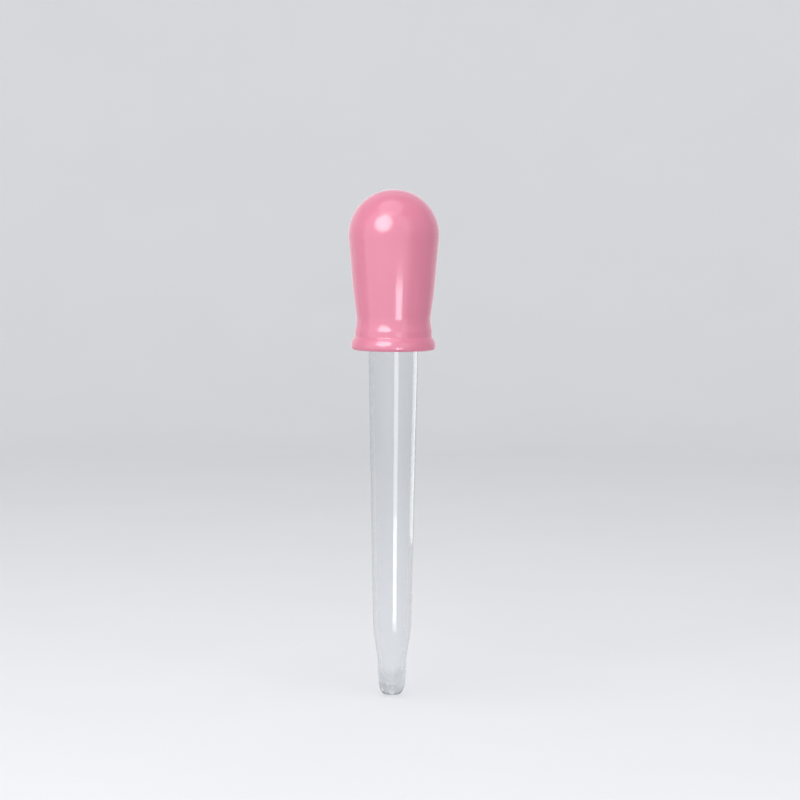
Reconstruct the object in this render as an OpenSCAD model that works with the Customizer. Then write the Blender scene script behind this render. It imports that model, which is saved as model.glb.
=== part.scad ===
// Medicine dropper: a soft squeeze bulb pushed onto a clear tapered tube.
// The dropper points straight down. The origin is the centre of its tip's mouth, +Z runs up to the bulb,
// and a finger and a thumb squeeze the bulb along Y.

/* [Tube] */
// Length of the tube, from the mouth of its tip to its open top
tube_len = 102.3; // [80:0.1:130]
// Outside diameter of the straight top, which the bulb grips
tube_d = 13; // [10:0.1:17]
// Length of the straight top
shank_len = 14; // [12:0.5:25]
// Outside diameter at the lower end of the taper, where the nose begins
taper_d = 10.1; // [8:0.1:12.5]
// Wall thickness of the tube
tube_wall = 1.2; // [0.8:0.1:1.6]

/* [Tip] */
// Outside diameter of the nozzle where the shoulder runs into it
nozzle_d = 7.5; // [6:0.1:9]
// Outside diameter of the nozzle just above its rounded end
nozzle_end_d = 7.1; // [5.6:0.1:8.8]
// Length of the nozzle, from its mouth up to the shoulder
nozzle_len = 7.5; // [6:0.1:14]
// Height of the shoulder that joins the nozzle to the taper
shoulder_len = 12; // [6:0.1:18]
// Height of the rounded end of the nozzle
end_round_h = 4.2; // [2:0.1:5]
// Diameter of the flat ring round the mouth
mouth_d = 3.2; // [2.8:0.1:5]
// Diameter of the hole that the drops come out of
orifice_d = 2; // [1:0.1:2.4]
// Length of the straight part of that hole
orifice_len = 3.6; // [2:0.1:5]

/* [Bulb] */
// Height of the bulb, from the underside of its flange to the top of its dome
bulb_h = 42.2; // [38:0.1:58]
// Widest outside diameter of the bulb, whose top is half a ball
bulb_d = 24; // [20:0.1:30]
// Wall thickness of the squeezable part
bulb_wall = 2; // [1:0.1:3]

/* [Collar] */
// Length of tube that the collar grips
grip_len = 10.8; // [8:0.1:15]
// Wall thickness of the collar at its slimmest place, the neck
collar_wall = 3.25; // [2.2:0.05:4]
// How far the band above the flange stands out from the neck
band_step = 0.4; // [0.2:0.05:1]
// Height of that band
band_h = 1.9; // [1:0.1:4]
// Height of the hollow curve from the band up to the neck
flare_h = 2; // [1:0.1:4]
// How far the flange stands out from the neck
flange_step = 1.4; // [1:0.05:3]
// Height of the flange, which widens downward from the band
flange_h = 3.3; // [2.6:0.1:5]
// Rounding of the flange's lower edge
lip_round = 1; // [0.4:0.05:1.4]
// Thickness of the ledge inside the bulb that the tube's top stops against
ledge_h = 1.2; // [0.8:0.1:2]

/* [Squeeze walls] */
// Width of the stretch of wall under the finger or the thumb
squeeze_w = 12.4; // [8:0.1:14]
// Distance from the cavity's floor up to that stretch
squeeze_low = 1.4; // [0.4:0.1:6]
// Distance from that stretch up to the top of the dome
squeeze_high = 6; // [5:0.1:10]

/* [Fits] */
// Radial clearance between the tube and the collar
grip_gap = 0.05; // [0.01:0.01:0.1]
// Gap between the tube's top and the ledge that stops it
seat_gap = 0.1; // [0.05:0.01:0.3]
// Gap round each squeeze wall
squeeze_gap = 0.2; // [0.1:0.05:0.4]

/* [Hidden] */
$fn = 96;
PINK = [0.94, 0.55, 0.68];
CLEAR = [0.90, 0.93, 0.95, 0.45];

// Tube radii and heights
tube_r = tube_d / 2;
shank_z = tube_len - shank_len;
rim_round = 0.4;

// Bulb radii and heights: the flange's underside is where the collar begins to grip the tube
flange_z = tube_len - grip_len;
bore_r = tube_r + grip_gap;
bore_lead = 0.5;
neck_r = bore_r + collar_wall;
band_r = neck_r + band_step;
band_round = band_step / 2;
flange_r = neck_r + flange_step;
bulb_r = bulb_d / 2;
band_z = flange_z + flange_h;
flare_z = band_z + band_h;
neck_z = flare_z + flare_h;
dome_z = flange_z + bulb_h - bulb_r;

// The side is a cone that starts at the neck and runs on smoothly into the dome.
// side_angle is how far it leans out.
side_angle = atan2(dome_z - neck_z, neck_r) - acos(bulb_r / norm([neck_r, dome_z - neck_z]));

// Inside the bulb: the bore, the ledge that stops the tube, and the cavity, whose floor slopes up to the wall
ledge_z = tube_len + seat_gap;
ledge_r = tube_r - tube_wall;
cavity_z = ledge_z + ledge_h;
floor_rise = 1.5;
wall_z = cavity_z + floor_rise;
squeeze_z1 = wall_z + squeeze_low;
squeeze_z2 = flange_z + bulb_h - squeeze_high;

// Steps in each curved stretch of an outline
curve_steps = 12;

// 0 to 1, level at both ends
function ease(u) = (1 - cos(180 * u)) / 2;

// Points of an arc of radius r about [x, z], from angle a1 to angle a2
function arc(x, z, r, a1, a2, steps) = [
    for (i = [0 : steps])
        let (a = a1 + (a2 - a1) * i / steps)
        [x + r * cos(a), z + r * sin(a)]
];

// Points of the nozzle's rounded end, from the mouth's flat ring up
nozzle_end = [
    for (i = [0 : curve_steps])
        let (a = 90 * i / curve_steps)
        [mouth_d / 2 + (nozzle_end_d - mouth_d) / 2 * sin(a), end_round_h * (1 - cos(a))]
];

// Points of the shoulder, taken in by the amount inset
function shoulder(inset) = [
    for (i = [0 : curve_steps])
        let (u = i / curve_steps)
        [nozzle_d / 2 + (taper_d - nozzle_d) / 2 * ease(u) - inset, nozzle_len + shoulder_len * u]
];

// Hollow curve from the band's top edge up to the neck
flare = [
    for (i = [1 : curve_steps - 1])
        let (a = 90 * i / curve_steps)
        [neck_r + (band_step - band_round) * (1 - sin(a)), flare_z + flare_h * (1 - cos(a))]
];

module tube_outline() {
    polygon(concat(
        [[0, 0]],
        nozzle_end,
        shoulder(0),
        [[tube_r, shank_z]],
        arc(tube_r - rim_round, tube_len - rim_round, rim_round, 0, 90, 4),
        [[0, tube_len]]
    ));
}

module tube_hollow() {
    over = 1;
    polygon(concat(
        [[0, -over], [orifice_d / 2, -over], [orifice_d / 2, orifice_len]],
        shoulder(tube_wall),
        [[tube_r - tube_wall, shank_z], [tube_r - tube_wall, tube_len + over], [0, tube_len + over]]
    ));
}

module tube() {
    color(CLEAR)
    rotate_extrude()
    difference() {
        tube_outline();
        tube_hollow();
    }
}

module bulb_outline() {
    polygon(concat(
        [[0, flange_z]],
        arc(flange_r - lip_round, flange_z + lip_round, lip_round, -90, 25, 6),
        [[band_r, band_z]],
        arc(band_r - band_round, flare_z - band_round, band_round, 0, 90, 4),
        flare,
        [[neck_r, neck_z]],
        arc(0, dome_z, bulb_r, -side_angle, 90, 2 * curve_steps)
    ));
}

module bulb_hollow() {
    over = 1;
    // The bore with its lead-in, and the hole in the ledge
    polygon([
        [0, flange_z - over],
        [bore_r + bore_lead, flange_z - over],
        [bore_r + bore_lead, flange_z],
        [bore_r, flange_z + bore_lead],
        [bore_r, ledge_z],
        [ledge_r, ledge_z],
        [ledge_r, cavity_z],
        [0, cavity_z]
    ]);
    // The cavity, from its sloping floor up to the inside of the dome
    wall_r = neck_r + (wall_z - neck_z) * tan(side_angle) - bulb_wall / cos(side_angle);
    polygon(concat(
        [[0, cavity_z - over], [ledge_r, cavity_z - over], [ledge_r, cavity_z], [wall_r, wall_z]],
        arc(0, dome_z, bulb_r - bulb_wall, -side_angle, 90, 2 * curve_steps)
    ));
}

// The whole moulding, before the squeeze walls are parted from it
module whole_bulb() {
    rotate_extrude()
    difference() {
        bulb_outline();
        bulb_hollow();
    }
}

// A bar along Y with round ends, which takes the squeeze wall out of one side of the bulb.
// grow widens it all round, and side is -1 for the front and 1 for the back.
module squeeze_bar(grow, side) {
    r = squeeze_w / 2 + grow;
    straight = squeeze_z2 - squeeze_z1 - squeeze_w;
    mid_z = (squeeze_z1 + squeeze_z2) / 2;
    reach = bulb_d;
    translate([0, side * reach / 2, mid_z])
    rotate([90, 0, 0])
    union() {
        for (end = [-1, 1])
            translate([0, end * straight / 2, 0])
            cylinder(h = reach, r = r, center = true);
        cube([2 * r, straight, reach], center = true);
    }
}

module bulb() {
    color(PINK)
    difference() {
        whole_bulb();
        squeeze_bar(squeeze_gap, -1);
        squeeze_bar(squeeze_gap, 1);
    }
}

module squeeze_wall(side) {
    color(PINK)
    intersection() {
        whole_bulb();
        squeeze_bar(0, side);
    }
}

module front_squeeze_wall() {
    squeeze_wall(-1);
}

module back_squeeze_wall() {
    squeeze_wall(1);
}

tube();
bulb();
front_squeeze_wall();
back_squeeze_wall();
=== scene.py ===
# %% [markdown]
# # A medicine dropper
#
# The real thing is two pieces. A clear plastic tube tapers to a soft nose with a small mouth, and a pink
# silicone bulb is pushed over the tube's top. Squeezing the bulb and letting go draws the medicine up.
# The design, its sizes and its joints come from a CAD frame. This lesson dresses that frame: it turns smooth
# meshes for the two pieces, gives them their plastics, and sets up a small studio.

import math

import bmesh
import bpy
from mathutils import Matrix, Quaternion, Vector


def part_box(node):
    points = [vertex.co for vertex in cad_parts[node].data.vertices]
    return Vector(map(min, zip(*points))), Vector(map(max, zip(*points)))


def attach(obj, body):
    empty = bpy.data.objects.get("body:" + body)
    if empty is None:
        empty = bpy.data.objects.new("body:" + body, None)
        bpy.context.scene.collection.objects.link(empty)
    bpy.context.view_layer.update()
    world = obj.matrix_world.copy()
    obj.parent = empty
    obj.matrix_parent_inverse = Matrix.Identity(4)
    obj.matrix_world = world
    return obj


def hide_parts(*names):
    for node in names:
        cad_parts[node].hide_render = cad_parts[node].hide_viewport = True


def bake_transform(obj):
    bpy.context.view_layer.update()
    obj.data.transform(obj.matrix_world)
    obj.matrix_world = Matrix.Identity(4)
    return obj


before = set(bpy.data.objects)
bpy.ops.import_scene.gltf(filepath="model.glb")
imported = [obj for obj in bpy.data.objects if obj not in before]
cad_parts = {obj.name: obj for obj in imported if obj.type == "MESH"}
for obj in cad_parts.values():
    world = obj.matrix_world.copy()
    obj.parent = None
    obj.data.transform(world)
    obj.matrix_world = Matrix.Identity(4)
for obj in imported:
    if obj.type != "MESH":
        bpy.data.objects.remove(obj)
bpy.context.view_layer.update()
MM = 0.001

# %% [markdown]
# ## Sizes
#
# The lengths and outer diameters are read from the frame, so the looks follow the design. The walls, the
# collar's small steps and the nose aren't in the frame's boxes, so they are named here once, in metres.

# %% Sizes of the tube and the bulb
tube_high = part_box("tube")[1]
bulb_low, bulb_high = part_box("bulb")
wall_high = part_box("back_squeeze_wall")[1]

tube_top = tube_high.z
tube_r = tube_high.x
shank_len = 14 * MM
shank_z = tube_top - shank_len
taper_r = 5.05 * MM
tube_wall = 1.2 * MM
inner_r = tube_r - tube_wall
shoulder_z = 19.5 * MM
nozzle_z = 7.5 * MM
nozzle_r = 3.75 * MM
nozzle_end_r = 3.55 * MM
nozzle_end_z = 4.2 * MM
mouth_r = 1.6 * MM
orifice_r = 1 * MM
orifice_len = 3.6 * MM

flange_z = bulb_low.z
bulb_top = bulb_high.z
bulb_r = wall_high.y
dome_z = bulb_top - bulb_r
grip_gap = 0.05 * MM
collar_wall = 3.25 * MM
bore_r = tube_r + grip_gap
neck_r = bore_r + collar_wall
neck_z = flange_z + 7.2 * MM
band_r = neck_r + 0.4 * MM
crease_z = flange_z + 3.6 * MM
flange_r = neck_r + 1.4 * MM
bulb_wall = 2 * MM
seat_gap = 0.1 * MM
ledge_h = 1.2 * MM
floor_rise = 1.5 * MM
stop_z = tube_top + seat_gap
cavity_z = stop_z + ledge_h
wall_z = cavity_z + floor_rise
print(f"tube {tube_top / MM:.1f} long, {2 * tube_r / MM:.1f} across; bulb {2 * bulb_r / MM:.1f} across (mm)")

# %% [markdown]
# ## Outlines
#
# Both pieces are round, so each is an outline spun round the Z axis, as on a lathe. An outline is a list of
# (radius, height) points. Real moulded plastic has no sharp corner, so a helper rounds every corner with
# a short arc, and another adds points along straight stretches: a squeezed bulb bends only where it has
# points, and a smooth highlight needs them too.

# %% Helpers that draw an outline
def arc(r, z, radius, start, end, steps):
    """Points of an arc about (r, z), from angle start to angle end, in degrees."""
    angles = [math.radians(start + (end - start) * i / steps) for i in range(steps + 1)]
    return [(r + radius * math.cos(a), z + radius * math.sin(a)) for a in angles]


def rounded(before, corner, after, radius, steps=5):
    """The corner of a path, replaced by an arc that touches both of its sides."""
    corner = Vector(corner)
    back = (Vector(before) - corner).normalized()
    on = (Vector(after) - corner).normalized()
    half_angle = back.angle(on) / 2
    to_centre = (back + on).normalized()
    centre = corner + to_centre * radius / math.sin(half_angle)
    first = (corner + back * radius / math.tan(half_angle) - centre).normalized()
    last = (corner + on * radius / math.tan(half_angle) - centre).normalized()
    return [tuple(centre + radius * first.slerp(last, i / steps)) for i in range(steps + 1)]


def with_points(path, gap):
    """The path with extra points, so that no stretch is longer than gap."""
    filled = [path[0]]
    for a, b in zip(path, path[1:]):
        parts = max(1, math.ceil((Vector(b) - Vector(a)).length / gap))
        filled += [tuple(Vector(a).lerp(Vector(b), i / parts)) for i in range(1, parts + 1)]
    return filled


def eased(u):
    """0 to 1, level at both ends."""
    return (1 - math.cos(math.pi * u)) / 2


# %% [markdown]
# ### The tube's outline
#
# The outside starts at the mouth, rounds the nozzle's end, swells over the shoulder and then widens slowly
# to the straight top. The inside comes back down parallel to it and ends in the narrow hole that
# measures the drops. Seen through clear plastic, the inside matters as much as the outside.

# %% Draw the tube's outline
def shoulder(inset, steps=24):
    """The shoulder between nozzle and taper, moved inward by inset."""
    rise = shoulder_z - nozzle_z
    return [
        (nozzle_r + (taper_r - nozzle_r) * eased(i / steps) - inset, nozzle_z + rise * i / steps)
        for i in range(steps + 1)
    ]


def nozzle_end(steps=16):
    """The rounded end of the nozzle, from the mouth's flat ring outward and up."""
    turns = [math.pi / 2 * i / steps for i in range(steps + 1)]
    return [
        (mouth_r + (nozzle_end_r - mouth_r) * math.sin(a), nozzle_end_z * (1 - math.cos(a)))
        for a in turns
    ]


rim = 0.4 * MM
mouth_round = 0.1 * MM
funnel_round = 1.5 * MM
shank_round = 6 * MM
widest_gap = 3 * MM
taper_out = [shoulder(0)[-1], (tube_r, shank_z), (tube_r, tube_top)]
taper_in = [shoulder(tube_wall)[-1], (inner_r, shank_z), (inner_r, tube_top)]
tube_outside = (
    nozzle_end()
    + shoulder(0)
    + rounded(*taper_out, shank_round)
    + arc(tube_r - rim, tube_top - rim, rim, 0, 90, 6)
)
inner_rim = arc(inner_r + rim / 2, tube_top - rim / 2, rim / 2, 90, 180, 4)
funnel = [(orifice_r, 0), (orifice_r, orifice_len), shoulder(tube_wall)[0]]
tube_inside = (
    inner_rim
    + rounded(*taper_in, shank_round)[::-1]
    + shoulder(tube_wall)[::-1]
    + rounded(*funnel, funnel_round)[::-1]
    + arc(orifice_r + mouth_round, mouth_round, mouth_round, 180, 270, 3)
)
tube_outline = with_points(tube_outside + tube_inside + tube_outside[:1], widest_gap)
print(len(tube_outline), "points in the tube's outline")

# %% [markdown]
# ### The bulb's outline
#
# From the top: half a ball, a side that leans inward, a shallow groove at the neck, a band, and a flange
# whose face swells outward to a soft lip. Then up inside: the bore that grips the tube, the ledge that stops
# it, and the hollow that holds the air. The side touches the ball without a corner, which takes a little
# trigonometry: lean is the angle at which that happens. It is also slightly fuller than a cone, and the
# fullness is worked out so that it runs into the groove without a corner too.

# %% Draw the bulb's outline
dome_rise = dome_z - neck_z
lean = math.degrees(
    math.atan2(dome_rise, neck_r) - math.acos(bulb_r / math.hypot(neck_r, dome_rise))
)

groove_r = 9.5 * MM
groove_top = 9
groove_end = 17
groove_lift = 0.8 * MM
groove = arc(neck_r + groove_r, neck_z + groove_lift, groove_r, 180 - groove_top, 180 + groove_end, 20)


def side(top, foot, foot_slope, steps=28):
    """The side from top down to foot: a straight line, made fuller so that it ends at foot_slope."""
    height = top[1] - foot[1]
    extra = (foot_slope - (top[0] - foot[0]) / height) * height
    points = []
    for i in range(1, steps):
        up = 1 - i / steps
        fuller = extra * up * (1 - up) ** 2
        points.append((foot[0] + (top[0] - foot[0]) * up + fuller, foot[1] + height * up))
    return points


ball = arc(0, dome_z, bulb_r, 90, -lean, 60)
lip = 1 * MM
swell_r = 3.6 * MM
swell_end = 40
band_drop = 0.12 * MM
band_round = 0.3 * MM
crease_round = 0.6 * MM
lip_arc = arc(flange_r - lip, flange_z + lip, lip, 0, -90, 12)
swell = arc(flange_r - swell_r, flange_z + lip, swell_r, swell_end, 0, 14)
band = [groove[-1], (band_r, groove[-1][1] - band_drop), (band_r, crease_z), swell[0]]
bulb_outside = (
    ball
    + side(ball[-1], groove[0], math.tan(math.radians(groove_top)))
    + groove[:-1]
    + rounded(groove[-2], band[1], band[2], band_round)
    + rounded(*band[1:], crease_round)
    + swell
    + lip_arc[1:]
)
lead = 0.5 * MM
bending_gap = 0.7 * MM
tilt = math.radians(lean)
cavity_wall_r = neck_r + (wall_z - neck_z) * math.tan(tilt) - bulb_wall / math.cos(tilt)
collar_inside = [
    (bore_r + lead, flange_z),
    (bore_r, flange_z + lead),
    (bore_r, stop_z),
    (inner_r, stop_z),
    (inner_r, cavity_z),
    (cavity_wall_r, wall_z),
]
inner_dome = arc(0, dome_z, bulb_r - bulb_wall, -lean, 90, 48)
bulb_outline = with_points(bulb_outside + collar_inside + inner_dome, bending_gap)
print(len(bulb_outline), "points in the bulb's outline; its side leans", round(lean, 1), "degrees")

# %% [markdown]
# ## The lathe
#
# Spinning an outline is a rule, so Geometry Nodes does it. A grid has one column of points for each point of
# the outline and one row for each step round. Every grid point looks up its outline point by number and
# moves to that radius, turned by its own step. Merging closes the seam and the poles. The same tree turns
# the tube, the bulb and the studio's floor.

# %% Build the lathe tree
def lathe_tree():
    tree = bpy.data.node_groups.new("lathe", "GeometryNodeTree")
    sockets = [
        ("Outline", "INPUT", "NodeSocketGeometry"),
        ("Outline points", "INPUT", "NodeSocketInt"),
        ("Steps round", "INPUT", "NodeSocketInt"),
        ("Merge within", "INPUT", "NodeSocketFloat"),
        ("Finish", "INPUT", "NodeSocketMaterial"),
        ("Solid", "OUTPUT", "NodeSocketGeometry"),
    ]
    for name, way, kind in sockets:
        tree.interface.new_socket(name, in_out=way, socket_type=kind)

    def add(kind, settings=(), **links):
        node = tree.nodes.new(kind)
        for name, value in settings:
            setattr(node, name, value)
        for name, value in links.items():
            numbered = name[1:].isdigit()
            socket = node.inputs[int(name[1:]) if numbered else name.replace("_", " ")]
            if isinstance(value, bpy.types.NodeSocket):
                tree.links.new(value, socket)
            else:
                socket.default_value = value
        return node

    given = add("NodeGroupInput").outputs
    rows = add("FunctionNodeIntegerMath", [("operation", "ADD")], i0=given["Steps round"], i1=1).outputs[0]
    grid = add("GeometryNodeMeshGrid", Vertices_X=given["Outline points"], Vertices_Y=rows).outputs["Mesh"]
    number = add("GeometryNodeInputIndex").outputs[0]
    column = add("FunctionNodeIntegerMath", [("operation", "DIVIDE_FLOOR")], i0=number, i1=rows).outputs[0]
    row = add("FunctionNodeIntegerMath", [("operation", "MODULO")], i0=number, i1=rows).outputs[0]
    turn = add("ShaderNodeMath", [("operation", "DIVIDE")], i0=row, i1=given["Steps round"]).outputs[0]
    angle = add("ShaderNodeMath", [("operation", "MULTIPLY")], i0=turn, i1=math.tau).outputs[0]
    place = add("GeometryNodeInputPosition").outputs[0]
    point = add(
        "GeometryNodeSampleIndex",
        [("data_type", "FLOAT_VECTOR")],
        Geometry=given["Outline"],
        Value=place,
        Index=column,
    ).outputs[0]
    spin = [("rotation_type", "Z_AXIS")]
    turned = add("ShaderNodeVectorRotate", spin, Vector=point, Angle=angle).outputs[0]
    moved = add("GeometryNodeSetPosition", Geometry=grid, Position=turned).outputs[0]
    merged = add("GeometryNodeMergeByDistance", Geometry=moved, Distance=given["Merge within"]).outputs[0]
    smooth = add("GeometryNodeSetShadeSmooth", Geometry=merged).outputs[0]
    real = add("GeometryNodeRealizeInstances", Geometry=smooth).outputs[0]
    finished = add("GeometryNodeSetMaterial", Geometry=real, Material=given["Finish"]).outputs[0]
    add("NodeGroupOutput", Solid=finished)
    return tree


LATHE = lathe_tree()
print("the lathe has", len(LATHE.nodes), "nodes")

# %% [markdown]
# A modifier's inputs are set by identifier, not by name, and before Blender first works the object out.
# The result is then taken as a plain mesh, and its faces are turned outward.

# %% Turn an outline into a plain mesh object
def turn_on_lathe(name, outline, finish, steps_round, merge_within=1e-6):
    mesh = bpy.data.meshes.new(name + "_outline")
    mesh.from_pydata([(r, 0, z) for r, z in outline], [], [])
    work = bpy.data.objects.new(name + "_outline", mesh)
    bpy.context.scene.collection.objects.link(work)
    modifier = work.modifiers.new("lathe", "NODES")
    modifier.node_group = LATHE
    values = {
        "Outline points": len(outline),
        "Steps round": steps_round,
        "Merge within": merge_within,
        "Finish": finish,
    }
    for item in LATHE.interface.items_tree:
        if item.name in values:
            modifier[item.identifier] = values[item.name]
    bpy.context.view_layer.update()
    turned = work.evaluated_get(bpy.context.evaluated_depsgraph_get())
    solid = bpy.data.objects.new(name, bpy.data.meshes.new_from_object(turned))
    solid.data.name = name
    bpy.data.objects.remove(work)
    shape = bmesh.new()
    shape.from_mesh(solid.data)
    bmesh.ops.recalc_face_normals(shape, faces=shape.faces)
    shape.to_mesh(solid.data)
    shape.free()
    bpy.context.scene.collection.objects.link(solid)
    print(name, "has", len(solid.data.polygons), "faces")
    return solid


# %% [markdown]
# ## Writing a material as sums
#
# A finish is a small calculation at each point of the surface: noise, scaled, added to a base value. Wired
# by hand that is a web of nodes. Here one class wraps an output socket, so that + and * add the Math
# nodes, and one method adds any other node.

# %% A class that turns arithmetic into nodes
class Signal:
    """An output socket of a material. Arithmetic on it adds Math nodes."""

    def __init__(self, finish, socket):
        self.finish = finish
        self.socket = socket

    def maths(self, operation, first, second):
        return self.finish.node("ShaderNodeMath", {"operation": operation}, {0: first, 1: second})

    def __add__(self, other):
        return self.maths("ADD", self, other)

    def __radd__(self, other):
        return self.maths("ADD", other, self)

    def __mul__(self, other):
        return self.maths("MULTIPLY", self, other)

    def __rmul__(self, other):
        return self.maths("MULTIPLY", other, self)


class Finish:
    """A new material, and the one method that adds a node to it."""

    def __init__(self, name):
        self.material = bpy.data.materials.new(name)
        self.material.use_nodes = True
        self.tree = self.material.node_tree
        self.tree.nodes.clear()
        self.place = self.node("ShaderNodeTexCoord", output="Object")

    def node(self, kind, settings=(), sockets=(), output=0):
        added = self.tree.nodes.new(kind)
        for name, value in dict(settings).items():
            setattr(added, name, value)
        for name, value in dict(sockets).items():
            if isinstance(value, Signal):
                self.tree.links.new(value.socket, added.inputs[name])
            else:
                added.inputs[name].default_value = value
        return Signal(self, added.outputs[output])

    def noise(self, size, detail, stretch=(1, 1, 1)):
        """Soft noise from 0 to 1, whose blobs are about size metres across. stretch makes them longer."""
        scale = [1 / (size * s) for s in stretch]
        place = self.node("ShaderNodeVectorMath", {"operation": "MULTIPLY"}, {0: self.place, 1: scale})
        return self.node("ShaderNodeTexNoise", {}, {"Vector": place, "Scale": 1.0, "Detail": detail})

    def colours(self, share, first, second):
        """Mixes two colours by share."""
        sockets = {"Factor": share, 6: first, 7: second}
        return self.node("ShaderNodeMix", {"data_type": "RGBA"}, sockets, 2)

    def bumps(self, height, distance):
        """A normal from a height in 0 to 1, where 1 stands distance metres high."""
        return self.node("ShaderNodeBump", {}, {"Strength": 1.0, "Distance": distance, "Height": height})

    def done(self, surface, volume=None):
        end = self.tree.nodes.new("ShaderNodeOutputMaterial")
        self.tree.links.new(surface.socket, end.inputs["Surface"])
        if volume:
            self.tree.links.new(volume.socket, end.inputs["Volume"])
        return self.material


# %% [markdown]
# ### Pink silicone
#
# Moulded silicone is dyed right through, so its colour barely changes: a slow drift where the dye mixed a
# little thinner, and a faint speckle. It leaves a polished mould with a satin skin. Finger marks and handling
# make the gloss slightly uneven, and a very fine grain breaks up the reflections.

# %% Mix the silicone
def pink_silicone():
    finish = Finish("pink_silicone")
    more_dye, less_dye = (0.68, 0.207, 0.308, 1), (0.72, 0.235, 0.338, 1)
    drift = finish.noise(9 * MM, detail=1)
    speckle = finish.noise(0.5 * MM, detail=1)
    speckle_share = 0.3
    colour = finish.colours(
        drift * (1 - speckle_share) + speckle * speckle_share, more_dye, less_dye
    )
    satin = 0.1
    dulled = 0.09
    handling = finish.noise(4 * MM, detail=3)
    roughness = satin + handling * dulled
    grain_share = 0.05
    grain = finish.noise(0.12 * MM, detail=2)
    waviness = finish.noise(6 * MM, detail=0)
    wave_h = 0.03 * MM
    normal = finish.bumps(grain * grain_share + waviness * (1 - grain_share), wave_h)
    sockets = {
        "Base Color": colour,
        "Roughness": roughness,
        "IOR": 1.43,
        "Normal": normal,
    }
    return finish.done(finish.node("ShaderNodeBsdfPrincipled", {}, sockets))


SILICONE = pink_silicone()
print(SILICONE.name, "has", len(SILICONE.node_tree.nodes), "nodes")

# %% [markdown]
# ### Clear plastic
#
# The tube is injection-moulded clear plastic. It bends light like glass, so its edges go dark and its walls
# show as bright streaks. The plastic flowed along the tube when it was made, which leaves faint long waves,
# and its gloss is a little uneven. Its shadow is let through, because real clear plastic hardly darkens
# the floor.

# %% Mix the clear plastic
def clear_plastic():
    finish = Finish("clear_plastic")
    flow = finish.noise(1.6 * MM, detail=1, stretch=(1, 1, 22))
    haze = finish.noise(7 * MM, detail=3)
    flow_h = 0.001 * MM
    polished = 0.02
    hazed = 0.05
    sockets = {
        "Base Color": (0.99, 0.995, 1.0, 1),
        "Roughness": polished + haze * hazed,
        "IOR": 1.49,
        "Transmission Weight": 1.0,
        "Normal": finish.bumps(flow, flow_h),
    }
    plastic = finish.node("ShaderNodeBsdfPrincipled", {}, sockets)
    thin_shadow = finish.node("ShaderNodeBsdfTransparent", {}, {"Color": (0.9, 0.91, 0.92, 1)})
    to_lamp = finish.node("ShaderNodeLightPath", output="Is Shadow Ray")
    surface = finish.node("ShaderNodeMixShader", {}, {0: to_lamp, 1: plastic, 2: thin_shadow})
    depth = {"Color": (0.60, 0.64, 0.66, 1), "Density": 120.0}
    return finish.done(surface, finish.node("ShaderNodeVolumeAbsorption", {}, depth))


CLEAR = clear_plastic()
print(CLEAR.name, "has", len(CLEAR.node_tree.nodes), "nodes")

# %% [markdown]
# ## The tube
#
# One turned piece. It stands for the CAD node of the same name and rides on the body that stays still.

# %% Turn the tube
tube = turn_on_lathe("clear_tube", tube_outline, CLEAR, steps_round=128)
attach(tube, "tube")
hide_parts("tube")

# %% [markdown]
# ## The bulb, in quarters
#
# A finger and a thumb press the bulb from the front and the back, and the rubber round each one follows less
# and less. A mesh can bend between only two bodies, so the turned bulb is cut into a front and a back half,
# one for each wall that moves. A second cut, above the widest place, parts the side from the dome. Each piece
# is closed along its cuts and keeps the normals of the whole bulb, so that no line shows where two pieces
# meet.

# %% Cut a piece from the turned bulb
NEAR = 1e-7
PARALLEL = 0.999


def keep_side(shape, point, normal):
    """Cuts a closed shape with a plane, keeps what the normal points to, and closes the cut."""
    everything = shape.verts[:] + shape.edges[:] + shape.faces[:]
    bmesh.ops.bisect_plane(
        shape, geom=everything, dist=NEAR, plane_co=point, plane_no=normal, clear_inner=True
    )
    open_edges = [edge for edge in shape.edges if edge.is_boundary]
    cut = bmesh.ops.holes_fill(shape, edges=open_edges, sides=0)["faces"]
    bmesh.ops.triangulate(shape, faces=cut)


def piece_of(whole, name, planes):
    """The part of a turned solid on the far side of every plane, given as pairs of a point and a normal."""
    shape = bmesh.new()
    shape.from_mesh(whole.data)
    kept = shape.verts.layers.float_vector.new("whole_normal")
    for vert in shape.verts:
        vert[kept] = vert.normal
    for point, normal in planes:
        keep_side(shape, point, normal)
    bmesh.ops.recalc_face_normals(shape, faces=shape.faces)
    mesh = bpy.data.meshes.new(name)
    shape.to_mesh(mesh)
    shape.free()
    for material in whole.data.materials:
        mesh.materials.append(material)
    whole_normals = [Vector(item.vector) for item in mesh.attributes["whole_normal"].data]
    corner_normals = [None] * len(mesh.loops)
    for face in mesh.polygons:
        face.use_smooth = True
        on_cut = any(
            abs(face.normal.dot(normal)) > PARALLEL
            and abs((face.center - Vector(point)).dot(normal)) < NEAR
            for point, normal in planes
        )
        for corner in face.loop_indices:
            vert = mesh.loops[corner].vertex_index
            corner_normals[corner] = face.normal.copy() if on_cut else whole_normals[vert].normalized()
    mesh.attributes.remove(mesh.attributes["whole_normal"])
    mesh.normals_split_custom_set(corner_normals)
    piece = bpy.data.objects.new(name, mesh)
    bpy.context.scene.collection.objects.link(piece)
    print(name, "has", len(mesh.polygons), "faces")
    return piece


whole_bulb = turn_on_lathe("whole_bulb", bulb_outline, SILICONE, steps_round=160)
cut_rise = 3 * MM
cut_z = dome_z + cut_rise
bulb_pieces = {}
for end, end_normal in (("lower", Vector((0, 0, -1))), ("upper", Vector((0, 0, 1)))):
    for side_name, side_normal in (("front", Vector((0, -1, 0))), ("back", Vector((0, 1, 0)))):
        planes = [((0, 0, 0), side_normal), ((0, 0, cut_z), end_normal)]
        bulb_pieces[side_name, end] = piece_of(whole_bulb, f"bulb_{side_name}_{end}", planes)
bpy.data.objects.remove(whole_bulb)
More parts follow.
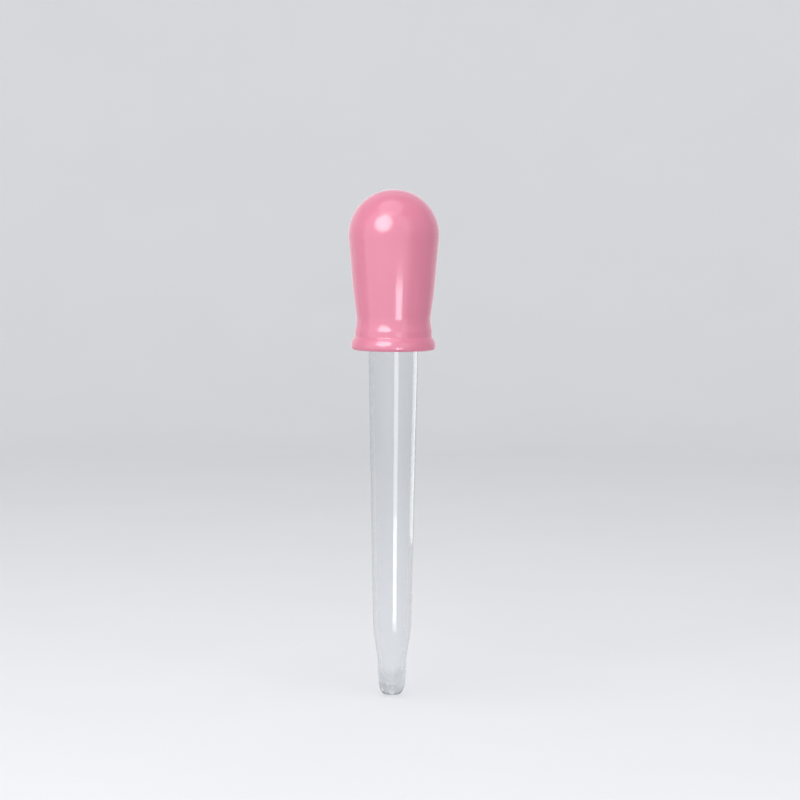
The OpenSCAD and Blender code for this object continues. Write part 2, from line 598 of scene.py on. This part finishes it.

# %% [markdown]
# ### Setting the pieces down
#
# Each piece's place is baked into its points, and the CAD bulb and squeeze walls it stands for are hidden.

for (side_name, end), piece in bulb_pieces.items():
    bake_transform(piece)
    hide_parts("bulb", side_name + "_squeeze_wall")

# %% [markdown]
# ## The studio
#
# The floor is turned on the same lathe: a flat disc that curves up into a wall all the way round, so that no
# horizon shows from any side.

# %% Make the floor
def pale_floor():
    finish = Finish("pale_floor")
    mottle = finish.noise(60 * MM, detail=2)
    colour = finish.colours(mottle, (0.72, 0.72, 0.73, 1), (0.75, 0.75, 0.76, 1))
    sockets = {
        "Base Color": colour,
        "Roughness": 1.0,
        "Specular IOR Level": 0.0,
        "Emission Color": (1, 1, 1, 1),
        "Emission Strength": 0.12,
    }
    return finish.done(finish.node("ShaderNodeBsdfPrincipled", {}, sockets))


floor_z = -0.5 * MM
studio_r = 1.1
sweep_r = 0.35
studio_h = 0.6
floor_outline = [(0, floor_z)] + rounded(
    (0, floor_z), (studio_r, floor_z), (studio_r, studio_h), sweep_r, steps=24
) + [(studio_r, studio_h)]
studio_floor = turn_on_lathe("studio_floor", floor_outline, pale_floor(), steps_round=96)

# %% [markdown]
# ## Light
#
# A large round softbox at the upper left is the main light, one overhead fills the dome, and a weak one on
# the right opens the shadows. The other lamps are there only to be mirrored, as a photographer's cards are.
# Slim ones in front draw the streak down the bulb and the tube, and a broad one gives the bulb its soft
# band. Those behind make the bulb's pale rim and the tube's bright edge. The softbox has a brighter double
# that only the bulb mirrors, for its round highlight. Light linking keeps each card to its own pieces.

# %% A helper that hangs a lamp
def lamp(name, place, aim, width, brightness, height=None, seen_on=None):
    """A soft lamp: a disc, or a rectangle where it has a height. Its face is brightness times as bright as
    a white wall. seen_on lists the pieces that mirror it, where it is only there to be mirrored."""
    light = bpy.data.lights.new(name, "AREA")
    light.shape = "RECTANGLE" if height else "DISK"
    light.size = width
    if height:
        light.size_y = height
    area = width * height if height else math.pi * width**2 / 4
    light.energy = brightness * math.pi * area
    holder = bpy.data.objects.new(name, light)
    holder.location = place
    holder.rotation_mode = "QUATERNION"
    holder.rotation_quaternion = (Vector(aim) - Vector(place)).to_track_quat("-Z", "Y")
    holder.visible_camera = False
    bpy.context.scene.collection.objects.link(holder)
    if seen_on:
        holder.visible_diffuse = holder.visible_transmission = False
        mirrors = bpy.data.collections.new(name + "_mirrors")
        for piece in seen_on:
            mirrors.objects.link(piece)
        holder.light_linking.receiver_collection = mirrors


def at(azimuth, away, height):
    """A place away metres from the axis. Azimuth 0 is in front, and 90 is on the right."""
    turn = math.radians(azimuth)
    return Vector((away * math.sin(turn), -away * math.cos(turn), height))


# %% Hang the lamps and the cards
bulb_middle = Vector((0, 0, (flange_z + bulb_top) / 2))
key_distance = 0.95
key_place = bulb_middle + key_distance * Vector((-0.42, -0.74, 0.5)).normalized()
silicone = list(bulb_pieces.values())
lamp("key_softbox", key_place, bulb_middle, width=0.7, brightness=3.05)
lamp("key_glint", key_place, bulb_middle, width=0.7, brightness=21, seen_on=silicone)
lamp("top_softbox", (-0.1, -0.2, 0.85), bulb_middle, width=0.7, brightness=2)
lamp("fill_softbox", at(40, 0.85, 0.5), bulb_middle, width=0.6, brightness=0.5)
# Name, place, height it faces, width, height, brightness, and the pieces that mirror it
cards = [
    ("broad_card", at(-20, 0.16, 0.2), 0.2, 0.56, 0.396, 1.5, silicone),
    ("bulb_streak_card", at(15, 0.1, 0.047), 0.047, 0.03, 0.088, 10, silicone),
    ("tube_streak_card", at(14, 0.1, 0.046), 0.046, 0.034, 0.086, 5, [tube]),
    ("tip_streak_card", at(14, 0.06, 0.001), 0.03, 0.024, 0.08, 4, [tube]),
    ("bulb_rim_card", at(180, 0.42, 0.12), 0.12, 1.5, None, 0.4, silicone),
    ("tube_edge_card", at(126, 0.3, 0.1), 0.1, 0.2, 0.2, 2.2, [tube]),
]
for name, place, aim_z, width, height, brightness, pieces in cards:
    lamp(name, place, (0, 0, aim_z), width, brightness, height, pieces)
print(len(cards), "cards and 4 soft lamps")

# %% Fill the room with a faint cool light
sky = bpy.data.worlds.new("sky")
sky.use_nodes = True
background = sky.node_tree.nodes["Background"]
background.inputs["Color"].default_value = (0.93, 0.95, 1.0, 1)
background.inputs["Strength"].default_value = 0.5
bpy.context.scene.world = sky
bpy.context.scene.view_settings.view_transform = "Standard"
print("the room's light has strength", background.inputs["Strength"].default_value)

# %% [markdown]
# ## Camera
#
# A long lens from straight in front and a little above, as such a product is usually shown.

# %% Place the camera
camera_lens = 135
camera_sensor = 36
view_width = 211 * MM
camera_height_angle = math.radians(4)
camera_roll = math.radians(0.3)
aim = Vector((1.8 * MM, 0, 78.3 * MM))
distance = camera_lens / camera_sensor * view_width

camera_data = bpy.data.cameras.new("camera")
camera_data.lens = camera_lens
camera_data.sensor_width = camera_sensor
camera = bpy.data.objects.new("camera", camera_data)
back = Vector((0, -math.cos(camera_height_angle), math.sin(camera_height_angle)))
camera.location = aim + back * distance
camera.rotation_mode = "QUATERNION"
camera.rotation_quaternion = Quaternion(back, camera_roll) @ (-back).to_track_quat("-Z", "Y")
bpy.context.scene.collection.objects.link(camera)
bpy.context.scene.camera = camera
print("the camera is", round(distance, 2), "m away")
